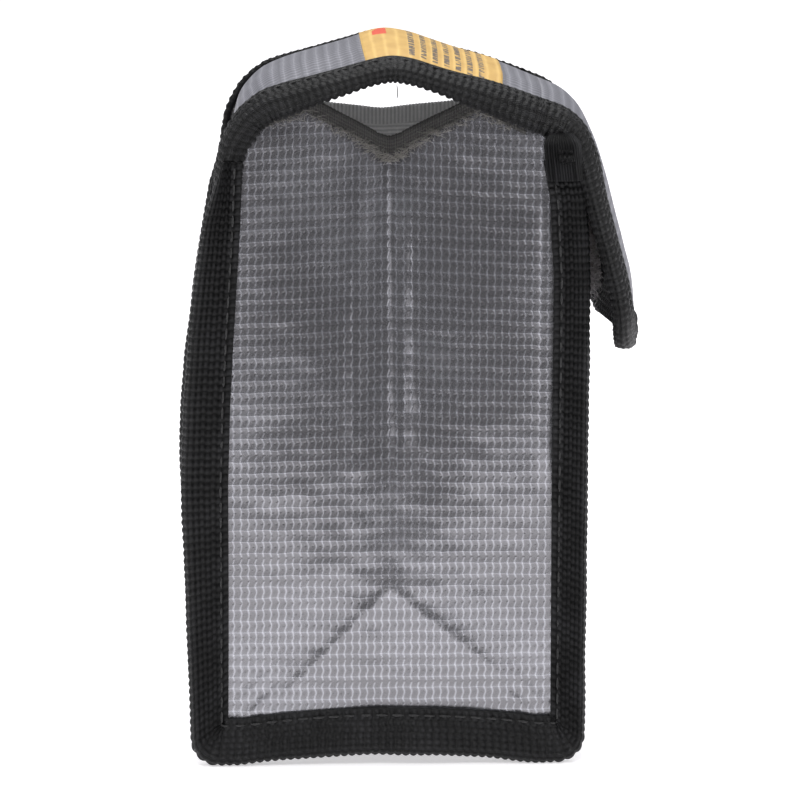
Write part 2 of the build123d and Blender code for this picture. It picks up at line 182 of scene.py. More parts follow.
def crumple(a, b, size, seed):
    """Gentle uneven waves about this size: the sum of 14 sines whose directions, lengths and phases come
    from a fixed seed, scaled to run between about -1 and 1."""
    draw = np.random.default_rng(seed)
    total = 0
    for _ in range(14):
        angle = draw.uniform(0, math.pi)
        wave = size * draw.uniform(0.6, 1.7)
        phase = draw.uniform(0, 2 * math.pi)
        total = total + np.sin((a * math.cos(angle) + b * math.sin(angle)) * 2 * math.pi / wave + phase)
    return total / 5


def strip_bow(s, y):
    """How far the cloth stands out from the strip's line. Each wall swells by the square of a cosine of y,
    most between its ends, and the lid and tongue arch by a parabola that drops off towards their edges."""
    wall = np.cos(math.pi / 2 * np.clip(np.abs(y) / 22.9, 0, 1)) ** 2
    front = 6.6 * smooth_step(s, -30, 18) * (1 - smooth_step(s, 30, front_low))
    back = 2.6 * smooth_step(s, back_low, back_low + 60) * (1 - smooth_step(s, back_top - 25, lid_start))
    lid = 1.9 - 0.0066 * y**2
    over = smooth_step(s, back_top - 6, lid_full)
    uneven = crumple(s, y, 22, 3) * 0.22 + crumple(s, y, 9, 4) * 0.07
    return (front + back) * wall + over * lid + uneven * (1 - smooth_step(np.abs(y), 15, 21))


def on_strip(s, y, out):
    """The point at distance s along the strip and y across the bag, this far out from the cloth's outer
    face."""
    s, y, out = np.broadcast_arrays(s, y, out)
    x, z, nx, nz = (np.interp(s, strip_s, v) for v in (*strip.T, *strip_out.T))
    proud = out + strip_bow(s, y)
    return np.stack([x + nx * proud, y, z + nz * proud], -1)


def grid_faces(rows, columns, wrap=False):
    """Quads between neighbouring points of a grid; wrap joins the last column to the first."""
    row, column = np.arange(rows - 1)[:, None], np.arange(columns if wrap else columns - 1)[None, :]
    beside = (column + 1) % columns
    here, after = row * columns, (row + 1) * columns
    corners = [here + column, here + beside, after + beside, after + column]
    return np.stack(np.broadcast_arrays(*corners), -1).reshape(-1, 4)


def two_sided(outside, inside):
    """A closed sheet between two grids of points: both faces, and a strip of quads round the rim."""
    rows, columns = outside.shape[:2]
    count = rows * columns
    index = np.arange(count).reshape(rows, columns)
    rim = np.concatenate([index[0, :-1], index[:-1, -1], index[-1, :0:-1], index[:0:-1, 0]])
    beyond = np.roll(rim, -1)
    side = np.stack([beyond, rim, rim + count, beyond + count], -1)
    faces = grid_faces(rows, columns)
    points = np.concatenate([outside.reshape(-1, 3), inside.reshape(-1, 3)])
    return points, [faces, faces[:, ::-1] + count, side]


def make_piece(name, points, faces, pattern, material):
    """Puts points in millimetres and a list of face arrays into a mesh object in the row's frame. pattern
    holds each point's place in the cloth, in metres. The back of the bag leans in towards the far end, by
    smooth steps in all three directions. The faces are turned to point outwards if their volume is
    negative."""
    points = np.array(points, float)
    x, y, z = points.T
    points[:, 0] += far_lean * smooth_step(y, -25, 25) * smooth_step(z, 45, 100) * smooth_step(-x, -12, 24)
    points = points * 0.001 + (bag_x * 0.001, 0, 0)
    volume = 0
    for group in faces:
        for k in range(1, group.shape[1] - 1):
            a, b, c = points[group[:, 0]], points[group[:, k]], points[group[:, k + 1]]
            volume += np.einsum("ij,ij->", a, np.cross(b, c))
    if volume < 0:
        faces = [group[:, ::-1] for group in faces]
    mesh = bpy.data.meshes.new(name)
    mesh.vertices.add(len(points))
    mesh.vertices.foreach_set("co", points.astype(np.float32).ravel())
    corners = np.concatenate([group.ravel() for group in faces])
    sizes = np.concatenate([np.full(len(group), group.shape[1]) for group in faces])
    mesh.loops.add(len(corners))
    mesh.loops.foreach_set("vertex_index", corners.astype(np.int32))
    mesh.polygons.add(len(sizes))
    mesh.polygons.foreach_set("loop_start", np.concatenate([[0], np.cumsum(sizes)[:-1]]).astype(np.int32))
    mesh.update(calc_edges=True)
    mesh.shade_smooth()
    place = mesh.attributes.new("cloth", "FLOAT_VECTOR", "POINT")
    place.data.foreach_set("vector", np.asarray(pattern, np.float32).reshape(-1, 3).ravel())
    mesh.materials.append(material)
    made = bpy.data.objects.new(name, mesh)
    bpy.context.scene.collection.objects.link(made)
    return made


class Shade:
    """One output of a material's node. Arithmetic on it adds Math nodes."""

    def __init__(self, tree, socket=None):
        self.tree, self.socket = tree, socket

    def node(self, kind, settings=None, values=None, output=0):
        """Adds a node: its settings first, then a value or a link for each named or numbered input."""
        made = self.tree.nodes.new("ShaderNode" + kind)
        for key, setting in (settings or {}).items():
            setattr(made, key, setting)
        for key, value in (values or {}).items():
            if isinstance(value, Shade):
                self.tree.links.new(value.socket, made.inputs[key])
            else:
                made.inputs[key].default_value = value
        return Shade(self.tree, made.outputs[output])

    def math(self, operation, *others):
        return self.node("Math", {"operation": operation}, dict(enumerate((self, *others))))

    def __add__(self, other):
        return self.math("ADD", other)

    def __sub__(self, other):
        return self.math("SUBTRACT", other)

    def __rsub__(self, other):
        return self.node("Math", {"operation": "SUBTRACT"}, {0: other, 1: self})

    def __mul__(self, other):
        return self.math("MULTIPLY", other)

    def __pow__(self, other):
        return self.math("POWER", other)

    __radd__, __rmul__ = __add__, __mul__

    def wave(self, length):
        """1 on every multiple of this length, falling to -1 between, as a cosine."""
        return (self * (2 * math.pi / length)).math("COSINE")

    def ridge(self, length, sharp):
        """Narrow raised lines on every multiple of this length, 0 between them."""
        return (self.wave(length) * 0.5 + 0.5) ** sharp

    def mix(self, first, second):
        """One colour to another by this value."""
        return self.node("Mix", {"data_type": "RGBA"}, {0: self, 6: first, 7: second}, 2)

    def noise(self, scale, detail=2.0):
        """Blender's noise at this many waves a metre, on this vector."""
        return self.node("TexNoise", values={"Vector": self, "Scale": scale, "Detail": detail})


def new_material(name, **fixed):
    """A material with these fixed values on its shader's sockets, its shader, and the cloth's place as
    three values."""
    material = bpy.data.materials.new(name)
    material.use_nodes = True
    shader = material.node_tree.nodes["Principled BSDF"]
    for key, value in fixed.items():
        shader.inputs[key.replace("_", " ")].default_value = value
    place = Shade(material.node_tree).node("Attribute", {"attribute_name": "cloth"}, output=1)
    parts = [place.node("SeparateXYZ", values={0: place}, output=k) for k in range(3)]
    return material, shader, place, parts


def surface(shader, colour, roughness, height, depth, metallic=None):
    """Feeds the varying colour, roughness, relief (depth is its height in metres) and metal into a
    shader."""
    tree = shader.id_data
    bump = colour.node("Bump", values={"Strength": 1.0, "Distance": depth, "Height": height})
    feeds = {"Base Color": colour, "Roughness": roughness, "Normal": bump, "Metallic": metallic}
    for key, value in feeds.items():
        if value is not None:
            tree.links.new(value.socket, shader.inputs[key])


cord_pitch, rib_pitch = 0.00134, 0.0021


def silver_finish(name, dark, light, gloss, metal, painted_band_shade):
    """Laminated glass cloth: upright cords that sway a little, rounded level ribs with a fine groove between them,
    short dashes slanting across the grooves, and a film that is duller and brighter in soft patches. The cords,
    a hairline on each rib and the ribs' crests are painted lighter as highlights, and the sunken dashes are
    painted darker as shade; the last argument sets how strongly the ribs' painted shading shows."""
    material, shader, place, (across, up, _) = new_material(name, Specular_IOR_Level=0.5)
    swayed = across + up.wave(rib_pitch) * 0.00012 + place.noise(700) * 0.0002
    level = up + place.noise(260) * 0.0006
    cords = swayed.ridge(cord_pitch, 6.0)
    bands = level.wave(rib_pitch) * 0.5 + 0.5
    grooves = (level + 0.00075).ridge(rib_pitch, 14.0)
    slant = (across * (1 / cord_pitch) - up * (0.55 / rib_pitch) + place.noise(500) * 0.25).ridge(1.0, 4.0)
    dashes = grooves * slant
    hair = (level - 0.0001).ridge(rib_pitch, 26.0)
    film = place.noise(1500, 4.0)
    patches = place.noise(38, 3.0)
    height = bands * 0.24 + cords * 0.26 + hair * 0.1 + film * 0.08 - dashes * 0.28
    # painted light: highlights on the cords, hairlines and rib crests, painted shade on the dashes; patches and
    # film vary at random
    shade = bands * painted_band_shade + cords * 0.5 + hair * 0.26 + patches * 0.6 + film * 0.12 - dashes * 0.75 - 0.36
    tone = shade.math("MAXIMUM", 0.0).math("MINIMUM", 1.0)
    roughness, metallic = film * 0.1 + patches * 0.16 + gloss, patches * 0.2 + metal
    surface(shader, tone.mix(dark, light), roughness, height, 0.00007, metallic)
    return material


silver_cloth = silver_finish(
    "laminated_cloth", (0.20, 0.197, 0.208, 1), (0.56, 0.565, 0.615, 1), gloss=0.13, metal=0.72, painted_band_shade=0.10
)
dull_silver = silver_finish(
    "laminated_cloth_rubbed", (0.14, 0.14, 0.16, 1), (0.34, 0.34, 0.38, 1), gloss=0.42, metal=0.05, painted_band_shade=0.22
)

# The lining's faint emission is a painted glow, standing in for light that comes through the cloth.
glowing_glass_lining, shader, place, (across, up, _) = new_material(
    "plain_glass_cloth_painted_glow", Sheen_Weight=0.2, Emission_Color=(1, 0.99, 0.98, 1), Emission_Strength=0.04
)
picks = (up + place.noise(300) * 0.0002).ridge(0.00075, 1.0)
warps = across.ridge(0.0009, 1.5)
slubs = place.noise(500, 4.0)
colour = (picks * 0.7 + slubs * 0.5 - 0.1).mix((0.40, 0.40, 0.41, 1), (0.88, 0.88, 0.89, 1))
surface(shader, colour, slubs * 0.2 + 0.6, picks * 0.6 + warps * 0.5 + slubs * 0.4, 0.0002)


def strip_cloth(name, low, high, half, layers, step):
    """Cloth between two places along the strip, its half width a function of the place, as one closed sheet
    a layer."""
    rows = np.linspace(low, high, int((high - low) / step) + 1)[:, None]
    columns = np.linspace(-1, 1, int(46 / step) + 1)[None, :]
    y = half(rows) * columns
    made = []
    for word, material, top, bottom in layers:
        points, faces = two_sided(on_strip(rows, y, -top), on_strip(rows, y, -bottom))
        place = np.stack(np.broadcast_arrays(y * 0.001, rows * 0.001, 0.0), -1).reshape(-1, 3)
        both = np.concatenate([place, place])
        made.append(make_piece(f"{name}_{word}_cloth", points, faces, both, material))
    return made


lining_layer = ("lining", glowing_glass_lining, cover_t + 0.02, cover_t + lining_t)
cloth_layers = (("cover", silver_cloth, 0, cover_t), lining_layer)
lid_layers = (("cover", dull_silver, 0, cover_t), lining_layer)


def tongue_half(s):
    """Half width of the tongue, whose two corners are quarter circles."""
    left = np.clip(strip_end - s, 0, None)
    into_corner = tongue_r - np.clip(left, 0, tongue_r)
    rounding = tongue_r - np.sqrt(np.clip(tongue_r**2 - into_corner**2, 0, None))
    return 24.4 - rounding


def wall_half(s):
    """Half width between the walls' two seams."""
    return 22.6 + 0 * s


def lid_half(s):
    """Half width of the lid, which widens as it leaves the back wall."""
    return 22.6 + 1.8 * smooth_step(s, back_top, lid_full)


walls = strip_cloth("walls", 0.0, back_top, wall_half, cloth_layers, 1.1)
lid_cloth = strip_cloth("lid", back_top, lid_end, lid_half, lid_layers, 0.9)
tongue_cloth = strip_cloth("tongue", lid_end, strip_end - 0.05, tongue_half, lid_layers, 0.9)


wall_nodes = (
    ("front_panel", "back_panel", "bottom_panel"),
    ("front_lining", "back_lining", "bottom_lining"),
)
for piece, nodes in zip(walls, wall_nodes):
    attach(piece, "bag")
    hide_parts(*nodes)
for piece, node in zip(lid_cloth, ("lid_panel", "lid_lining")):
    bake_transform(piece)
    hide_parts(node)
for piece, node in zip(tongue_cloth, ("tongue_panel", "tongue_lining")):
    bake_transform(piece)
    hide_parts(node)

# ---- The two end panels ----
# Each is a panel of the same cloth sewn in between the strip's two edges. It is creased inwards down its
# middle, with a tent-shaped crease above the base, and its top edge dips at the crease.
tape_inner = 2.0
mouth = {-1: 7.6, 1: 0.9}
peak = {-1: 121.4, 1: 114.9}
pinch = {-1: 11.0, 1: 6.5}


def back_line(z):
    """The strip's line up the back wall."""
    heights = [7, 52, 67, 80, 90, 100, 108, 114]
    return np.interp(z, heights, [-31, -31.3, -30.9, -30.1, -29.5, -28.9, -28.6, -28.2])


def front_line(z):
    """The strip's line up the front wall."""
    return np.interp(z, [7, 90, 104, 115], [31, 31, 30.2, 28.9])


def mouth_height(x, side):
    """Height of an end panel's top edge: level with the corners, up to a peak each side and down to the
    crease."""
    high = peak[side]
    low = high - mouth[side]
    across = [-36, -29, -25, -15, -2, 2, 15.5, 24, 28, 36]
    shoulders = [112, 115.6, min(118.2, high), high, low, low, high, min(117.6, high), 114.8, 113]
    line = np.interp(x, across, shoulders)
    return line - 0.09 * mouth[side] * np.exp(-(x / 1.5) ** 2)


def set_in(x, z, side):
    """How far an end panel stands in from the end's plane: the middle crease, which deepens upwards as a
    smooth step, the tent crease over the base, folds pulled by the seams, and small waves left by
    handling."""
    edge = np.where(x < 0, -back_line(z) - tape_inner, front_line(z) - tape_inner)
    share = np.clip(np.sqrt(x**2 + 1.0) / edge, 0, 1)
    crease = pinch[side] * smooth_step(z, 30, 128.7) * (1 - share)
    tent = z - np.where(x < 0, 33 + 1.03 * x, 33 - 0.81 * x)
    above = 0.6 * (1 - np.exp(-np.clip(tent, 0, None) / 6)) * (1 - share) ** 0.7
    ridge = 0.16 * np.exp(-(tent / 1.1) ** 2) * (1 - smooth_step(np.abs(x), 17, 24))
    panes = 0.7 * np.sin(math.pi * share) * smooth_step(z, 25, 70)
    left_fold = 0.30 * np.exp(-((x + 6.5 - 0.03 * (z - 60)) / 1.6) ** 2)
    right_fold = 0.35 * np.exp(-((x - 2.6) / 1.1) ** 2)
    middle = left_fold * smooth_step(z, 40, 62) * (1 - smooth_step(z, 100, 115))
    middle += right_fold * smooth_step(z, 45, 70) * (1 - smooth_step(z, 96, 112))
    pulled = 0.5 * np.exp(-((x - 27.4) / 0.9) ** 2) * smooth_step(z, 50, 60) * (1 - smooth_step(z, 100, 108))
    puckered = np.exp(-((np.abs(x) - 24) / 4) ** 2 - ((z - 12) / 5) ** 2)
    corners = 0.12 * puckered * np.sin((np.abs(x) + z) * 1.4)
    waves = 0.16 * crumple(x, z * 0.7, 16, 5 + side) + 0.06 * crumple(x, z, 6, 9 + side)
    waves = waves * (1 - share) ** 0.4
    return crease + above - ridge - panes - middle - pulled + corners + waves


def end_point(x, z, side, inwards):
    """A point of an end panel, this far inwards from its outer face."""
    return np.stack(np.broadcast_arrays(x, side * (25 - set_in(x, z, side) - inwards), z), -1)


def end_grid(side, step):
    """Across and up places on a grid: from under the tape at one seam to under it at the other."""
    u = np.linspace(0, 1, int(70 / step) + 1)[None, :]
    v = np.linspace(0, 1, int(116 / step) + 1)[:, None]
    z = 3.0 + v * 110
    tucked = np.interp(z, [60, 90, 104, 113], [4.5, 3.5, 2.0, 0.2])
    x = (back_line(z) - tucked) * (1 - u) + (front_line(z) + 0.6 * tucked) * u
    return x, 3.0 + v * (mouth_height(x, side) - 3.0)


for side, word in ((-1, "near"), (1, "far")):
    x, z = end_grid(side, 0.7)
    place = np.stack([x * 0.001, z * 0.001, 0 * x], -1).reshape(-1, 3)
    for (layer, material, top, bottom), node in zip(cloth_layers, ("panel", "lining")):
        points, faces = two_sided(end_point(x, z, side, top), end_point(x, z, side, bottom))
        both = np.concatenate([place, place])
        made = make_piece(f"{word}_end_{layer}_cloth", points, faces, both, material)
        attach(made, "bag")
        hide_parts(f"{word}_end_{node}")

# ---- Binding tape on the two end seams ----
# Heavy black woven tape, folded lengthwise over each seam and sewn through. Its ribs run across it, and
# each is a row of knobs where the warp yarns pass over.
heavy_weave = (1.38, 1.15, 0.44)


def relief(along, around, weave):
    """Height of the woven knobs: a rounded cosine along the tape for the ribs, notched by a sine across
    it."""
    rib, knob, high = weave
    column = np.floor(around / knob + 1e-6)
    drift = 0.12 * (column % 2) + 0.07 * np.sin(column * 2.4)
    lengthwise = np.abs(np.cos(math.pi * (along / rib + drift))) ** 0.75
    crosswise = 0.25 + 0.75 * np.abs(np.sin(math.pi * around / knob)) ** 0.7
    return high * (lengthwise * crosswise - 0.5)


def folded_tape(face, thickness, turned, knob):
    """Section of a tape folded over an edge: flat for face, round the edge as a half circle, and back for
    the rest. Gives each point's distance outwards and its height, the same for its normal, and its place
    round the tape."""
    radius = thickness / 2
    whole = face + math.pi * radius + turned
    columns = int(round(whole / knob))
    place = np.linspace(0, whole, columns * 3 + 1)
    bend = np.clip((place - face) / radius, 0, math.pi)
    back = np.clip(place - face - math.pi * radius, 0, None)
    out = np.minimum(place, face) + radius * np.sin(bend) - back
    return out, radius * np.cos(bend), np.sin(bend), np.cos(bend), place * (columns * knob / whole)


def carried_tape(name, along, spot, sizes, material, weave=heavy_weave, tape_t=0.9):
    """Carries a folded tape along a path. spot(out, height) gives the points for a section at every
    station. The section's inner side lies a tape's thickness in, and each end is closed with one face."""
    face, thickness, turned = sizes
    out, height, out_n, height_n, around = folded_tape(face, thickness, turned, weave[1])
    bumps = relief(along[:, None], around[None, :], weave)
    fade = np.clip(np.minimum(around, around[-1] - around) / 0.4, 0, 1)
    bumps = bumps * fade + tape_t * 0.13 * crumple(along[:, None], around[None, :], 12, 21)
    outer = spot(out + out_n * bumps, height + height_n * bumps)
    lie_out, lie_height, _, _, _ = folded_tape(face, thickness - 2 * tape_t, turned, weave[1])
    few = np.linspace(len(lie_out) - 1, 0, 9).astype(int)
    ones = np.ones((len(along), 1))
    inner = spot(ones * lie_out[few], ones * lie_height[few])
    rings = np.concatenate([outer, inner], 1)
    rows, columns = rings.shape[:2]
    caps = np.stack([np.arange(columns)[::-1], np.arange(columns) + (rows - 1) * columns])
    round_tape = np.concatenate([around, around[few]])
    # Each point's knob height goes with it, for the tape's painted highlight on knob tops and painted shade between
    # them.
    stand = np.concatenate([bumps, np.zeros((len(along), len(few)))], 1) / weave[2]
    place = np.stack(np.broadcast_arrays(round_tape * 0.001, along[:, None] * 0.001, stand), -1)
    faces = [grid_faces(rows, columns, wrap=True), caps]
    return make_piece(name, rings.reshape(-1, 3), faces, place.reshape(-1, 3), material)


black_tape, shader, place, (around, along, stand) = new_material("ribbed_tape", Specular_IOR_Level=0.3)
flat_place = place.node("CombineXYZ", values={0: around, 1: along})
yarns = (around + flat_place.noise(800) * 0.0003).ridge(0.00023, 1.0)
fuzz = flat_place.noise(2600, 3.0)
worn = flat_place.noise(120, 3.0)
# Painted light: knob tops are painted lighter as highlights and the crevices near black as shade, broken up by
# yarn, fuzz and wear.
tops = (stand + 0.4).math("MAXIMUM", 0.0) ** 2.2
knob_highlight_and_wear = (tops * (yarns * 0.5 + fuzz * 0.7 + worn * 0.5)).math("MINIMUM", 1.0)
colour = knob_highlight_and_wear.mix((0.0005, 0.0005, 0.0007, 1), (0.013, 0.013, 0.015, 1))
surface(shader, colour, worn * 0.2 + 0.32, yarns * 0.6 + fuzz * 0.5, 0.00012)

seam_step = 0.23
wall_x, base_z = 31, 7.2
front_fin, back_fin, low_back_fin = 4.7, 7.2, 5.0
front_spans = (14.3, 14.0, 78.0)
base_spans = (62.0,)
back_spans = (40.0, 15.0, 13.0, 10.0, 10.0, 12.0)


def seam_path(reach_share):
    """The seam's line at this share of its reach out from the walls: straight runs offset from the wall's
    line, with a quarter circle at each corner of the base whose radius grows with the reach."""
    radius = 0.8 + 4.2 * reach_share
    front, back, low_back = front_fin * reach_share, back_fin * reach_share, low_back_fin * reach_share
    turn_z = base_z - back + radius
    front_run = [(28.9 + front, 111), (30.2 + front, 104), (wall_x + front, 90), (wall_x + front, turn_z)]
    base_run = [(wall_x + front - radius, base_z - back), (-wall_x - low_back + radius, base_z - back)]
    back_run = [
        (-wall_x - low_back, turn_z), (-31.2 - 0.9 * back, 52), (-30.8 - 0.88 * back, 67),
        (-30.1 - 6.1 * reach_share, 80), (-29.5 - 5.5 * reach_share, 90), (-28.9 - 4.6 * reach_share, 100),
        (-28.5 - 1.6 * reach_share, 111),
    ]

    def run_points(corners, spans):
        """Even steps along each span of a run."""
        corners = np.array(corners)
        knots = np.concatenate([[0], np.cumsum(np.round(np.array(spans) / seam_step))])
        at = np.arange(knots[-1] + 1)
        return np.stack([np.interp(at, knots, corners[:, k]) for k in range(2)], 1)

    def turn_points(centre_x, start):
        """A quarter circle, clockwise from this angle."""
        angle = start - np.linspace(0, math.pi / 2, 30)[1:-1]
        return np.stack([centre_x + radius * np.cos(angle), turn_z + radius * np.sin(angle)], 1)

    return np.concatenate([
        run_points(front_run, front_spans),
        turn_points(wall_x + front - radius, 0),
        run_points(base_run, base_spans),
        turn_points(-wall_x - low_back + radius, -math.pi / 2),
        run_points(back_run, back_spans),
    ])


def seam_spot(side):
    """Places a section of the seam's tape: out from the wall's line, and height towards the end's own
    side."""
    wall_line, edge_line = seam_path(0.0), seam_path(1.0)
    middle = (wall_line + edge_line) / 2
    along = np.concatenate([[0], np.cumsum(np.linalg.norm(np.diff(middle, axis=0), axis=1))])
    reach = edge_line - wall_line
    sway = 0.25 * crumple(along, 0 * along, 30, 31 + side)
    arch = 1.8 * np.clip(1 - (middle[:, 0] / 27) ** 2, 0, 1) * (middle[:, 1] < 12)

    def spot(out, height):
        share = (out - tape_inner) / back_fin
        inside = np.minimum(share, 0) * back_fin
        unit = reach / np.linalg.norm(reach, axis=1, keepdims=True)
        x = wall_line[:, :1] + reach[:, :1] * np.maximum(share, 0) + unit[:, :1] * inside
        z = wall_line[:, 1:] + reach[:, 1:] * np.maximum(share, 0) + unit[:, 1:] * inside
        z = z + arch[:, None]
        y = side * (23.9 + height + sway[:, None])
        return np.stack([x, y + 0 * x, z], -1)

    return along, spot


for side, word in ((-1, "near"), (1, "far")):
    along, spot = seam_spot(side)
    made = carried_tape(f"{word}_seam_tape", along, spot, (7.2, 4.0, 4.9), black_tape)
    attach(made, "bag")
    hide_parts(f"{word}_binding")

# ---- Edge tape of the lid and the tongue ----
# The same tape folded over the edges of the lid, and round the tongue in one length.
lid_edge_t, lid_tape_y = 3.9, 21.2
lid_sizes = (2.8, lid_edge_t, 7.5)


def strip_spot(path_s, path_y, out_s, out_y):
    """Places a section of edge tape on the strip: out along the path's own side, height out from the
    cloth."""
    def spot(out, height):
        s = path_s[:, None] + out_s[:, None] * out
        y = path_y[:, None] + out_y[:, None] * out
        plump = 0.8 * (1 - smooth_step(s, back_top, lid_start + 4))
        off_crown, down_tongue = smooth_step(np.abs(s - crown), 5, 26), smooth_step(s, lid_end + 10, lid_end + 25)
        swell = 0.84 + 0.44 * (off_crown - down_tongue)
        return on_strip(s, y, height * swell - 0.55 + plump)
    return spot


for side, word in ((-1, "near"), (1, "far")):
    stations = np.arange(back_top - 6, lid_end + 0.1, seam_step)
    flat = np.ones_like(stations)
    spot = strip_spot(stations, side * lid_tape_y * flat, 0 * flat, side * flat)
    made = carried_tape(f"{word}_lid_tape", stations, spot, lid_sizes, black_tape)
    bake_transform(made)
    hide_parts(f"lid_{word}_binding")


def tongue_path():
    """Round the tongue in the strip's own plane: down one edge, a quarter circle, across, another, and
    up."""
    inner = lid_tape_y
    low, high = lid_end - 1, strip_end - 3.4
    bend_r = 6.0
    down = np.arange(low, high - bend_r, seam_step)
    turn = np.linspace(0, math.pi / 2, 34)[1:-1]
    acrosses = np.arange(-inner + bend_r, inner - bend_r, seam_step)
    sine, cosine = np.sin(turn), np.cos(turn)
    turn_s, turn_y = high - bend_r, inner - bend_r
    s = [down, turn_s + bend_r * sine, high + 0 * acrosses, turn_s + bend_r * cosine, down[::-1]]
    y = [-inner + 0 * down, -turn_y - bend_r * cosine, acrosses, turn_y + bend_r * sine, inner + 0 * down]
    ns = [0 * down, sine, 1 + 0 * acrosses, cosine, 0 * down]
    ny = [-1 + 0 * down, -cosine, 0 * acrosses, sine, 1 + 0 * down]
    return [np.concatenate(v) for v in (s, y, ns, ny)]


path_s, path_y, out_s, out_y = tongue_path()
edge_s, edge_y = path_s + 3 * out_s, path_y + 3 * out_y
along = np.concatenate([[0], np.cumsum(np.hypot(np.diff(edge_s), np.diff(edge_y)))])
spot = strip_spot(path_s, path_y, out_s, out_y)
tongue_tape = carried_tape("tongue_tape", along, spot, lid_sizes, black_tape)
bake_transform(tongue_tape)
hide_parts("tongue_binding")

# ---- Narrow edge tape on the mouth ----
# A thin grey woven tape folded over the top edges of the end panels and the front wall, its lower edge worn
# to fuzz. The far one is made of the lining's pale cloth, whose painted glow stands in for the light on it.
edge_weave = (0.62, 0.8, 0.16)
grey_edge_tape, shader, place, (around, along, _) = new_material("narrow_woven_tape", Sheen_Weight=0.2)
threads = (along + place.noise(900) * 0.0003).ridge(0.00042, 1.0)
courses = (around + place.noise(500) * 0.0003).ridge(0.0006, 1.0)
specks = place.noise(1500, 4.0)
wear = place.noise(200, 3.0)
colour = (threads * 0.3 + courses * 0.25 + specks * 0.7 + wear * 0.9 - 0.85).math("MAXIMUM", 0.0)
colour = colour.math("MINIMUM", 1.0).mix((0.012, 0.012, 0.012, 1), (0.24, 0.225, 0.205, 1))
surface(shader, colour, wear * 0.2 + 0.6, threads * 0.5 + courses * 0.4 + specks * 0.6, 0.00025)

hem_deep, edge_tape_t = 2.2, 0.45


def end_hem_spot(x, side):
    """Places a section of the edge tape over an end panel's top edge, at these places across the bag."""
    def spot(out, height):
        z = mouth_height(x, side)[:, None] - hem_deep + out
        y = side * (25 - set_in(x[:, None], z, side) - 0.55 + height)
        return np.stack([x[:, None] + 0 * z, y, z], -1)
    return spot


def front_hem_spot(y):
    """Places a section of the edge tape over the front wall's top edge, at these places along it."""
    def spot(out, height):
        return on_strip(hem_deep - out, y[:, None], height - 0.55)
    return spot


hem_sizes = (hem_deep, 1.8, hem_deep)
for word, side in (("near", -1), ("far", 1)):
    stations = np.arange(-24, 24, 0.12)
    # The far tape takes the lining's pale cloth with its painted glow, as painted light on the far end's inside.
    finish = grey_edge_tape if side < 0 else glowing_glass_lining
    spot = end_hem_spot(stations, side)
    made = carried_tape(f"{word}_mouth_tape", stations, spot, hem_sizes, finish, edge_weave, edge_tape_t)
    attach(made, "bag")
    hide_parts(f"{word}_end_hem")
stations = np.arange(-20.5, 20.5, 0.12)
spot = front_hem_spot(stations)
made = carried_tape("front_mouth_tape", stations, spot, hem_sizes, grey_edge_tape, edge_weave, edge_tape_t)
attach(made, "bag")
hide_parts("front_hem")

# ---- Doubled tape ends at the tops of the front seams ----
# Each binding ends at the mouth, where the tape is turned back on itself, so that a thick rounded knot
# stands there.
turned_weave = (40.0, 0.62, 0.26)
# name, lowest and highest point, how far it stands out, share of the full width, and weave
folds = (
    ("outer", 107.6, 116.6, 3.3, 1.0, turned_weave),
    ("inner", 109.8, 114.6, 4.0, 0.5, heavy_weave),
)
for word, side in (("near", -1), ("far", 1)):
    for size, low, high, proud, share, weave in folds:
        stations = np.arange(low, high + 0.01, 0.23)
        rounding = np.sqrt(np.clip(1 - ((stations - (high - 3.4)) / 3.45).clip(0, 1) ** 2, 0.02, 1))
        if size == "inner":
            rounding = rounding * np.sqrt(np.clip((stations - low) / 1.4, 0.2, 1))

        def spot(out, height, stations=stations, rounding=rounding, share=share, proud=proud, side=side):
            """Sections shrink towards their own middle where the end is rounded off."""
            middle = 3.1
            x = middle + (out * 0.74 - middle) * rounding[:, None] * share - 2.2 + (share < 1) * 0.8
            z = stations[:, None] + 0 * out
            y = side * (24.2 + height * rounding[:, None] * proud / 2.6)
            return np.stack([front_line(z) + x, y + 0 * x, z], -1)

        made = carried_tape(f"{word}_tape_end_{size}", stations, spot, (6.6, 5.2, 6.6), black_tape, weave)
        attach(made, "bag")
        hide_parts(f"{word}_tape_end")

# ---- Stitching ----
# Black polyester thread, one line of lockstitch along each tape, each stitch pulled down into the tape.
black_thread, shader, place, (around, along, _) = new_material("black_thread", Sheen_Weight=0.2)
ply = (around + along * 0.8).ridge(0.00018, 1.0)
lint = place.noise(3000)
colour = (ply * 0.5 + lint * 0.5).mix((0.002, 0.002, 0.002, 1), (0.010, 0.010, 0.011, 1))
surface(shader, colour, lint * 0.2 + 0.4, ply, 0.00008)


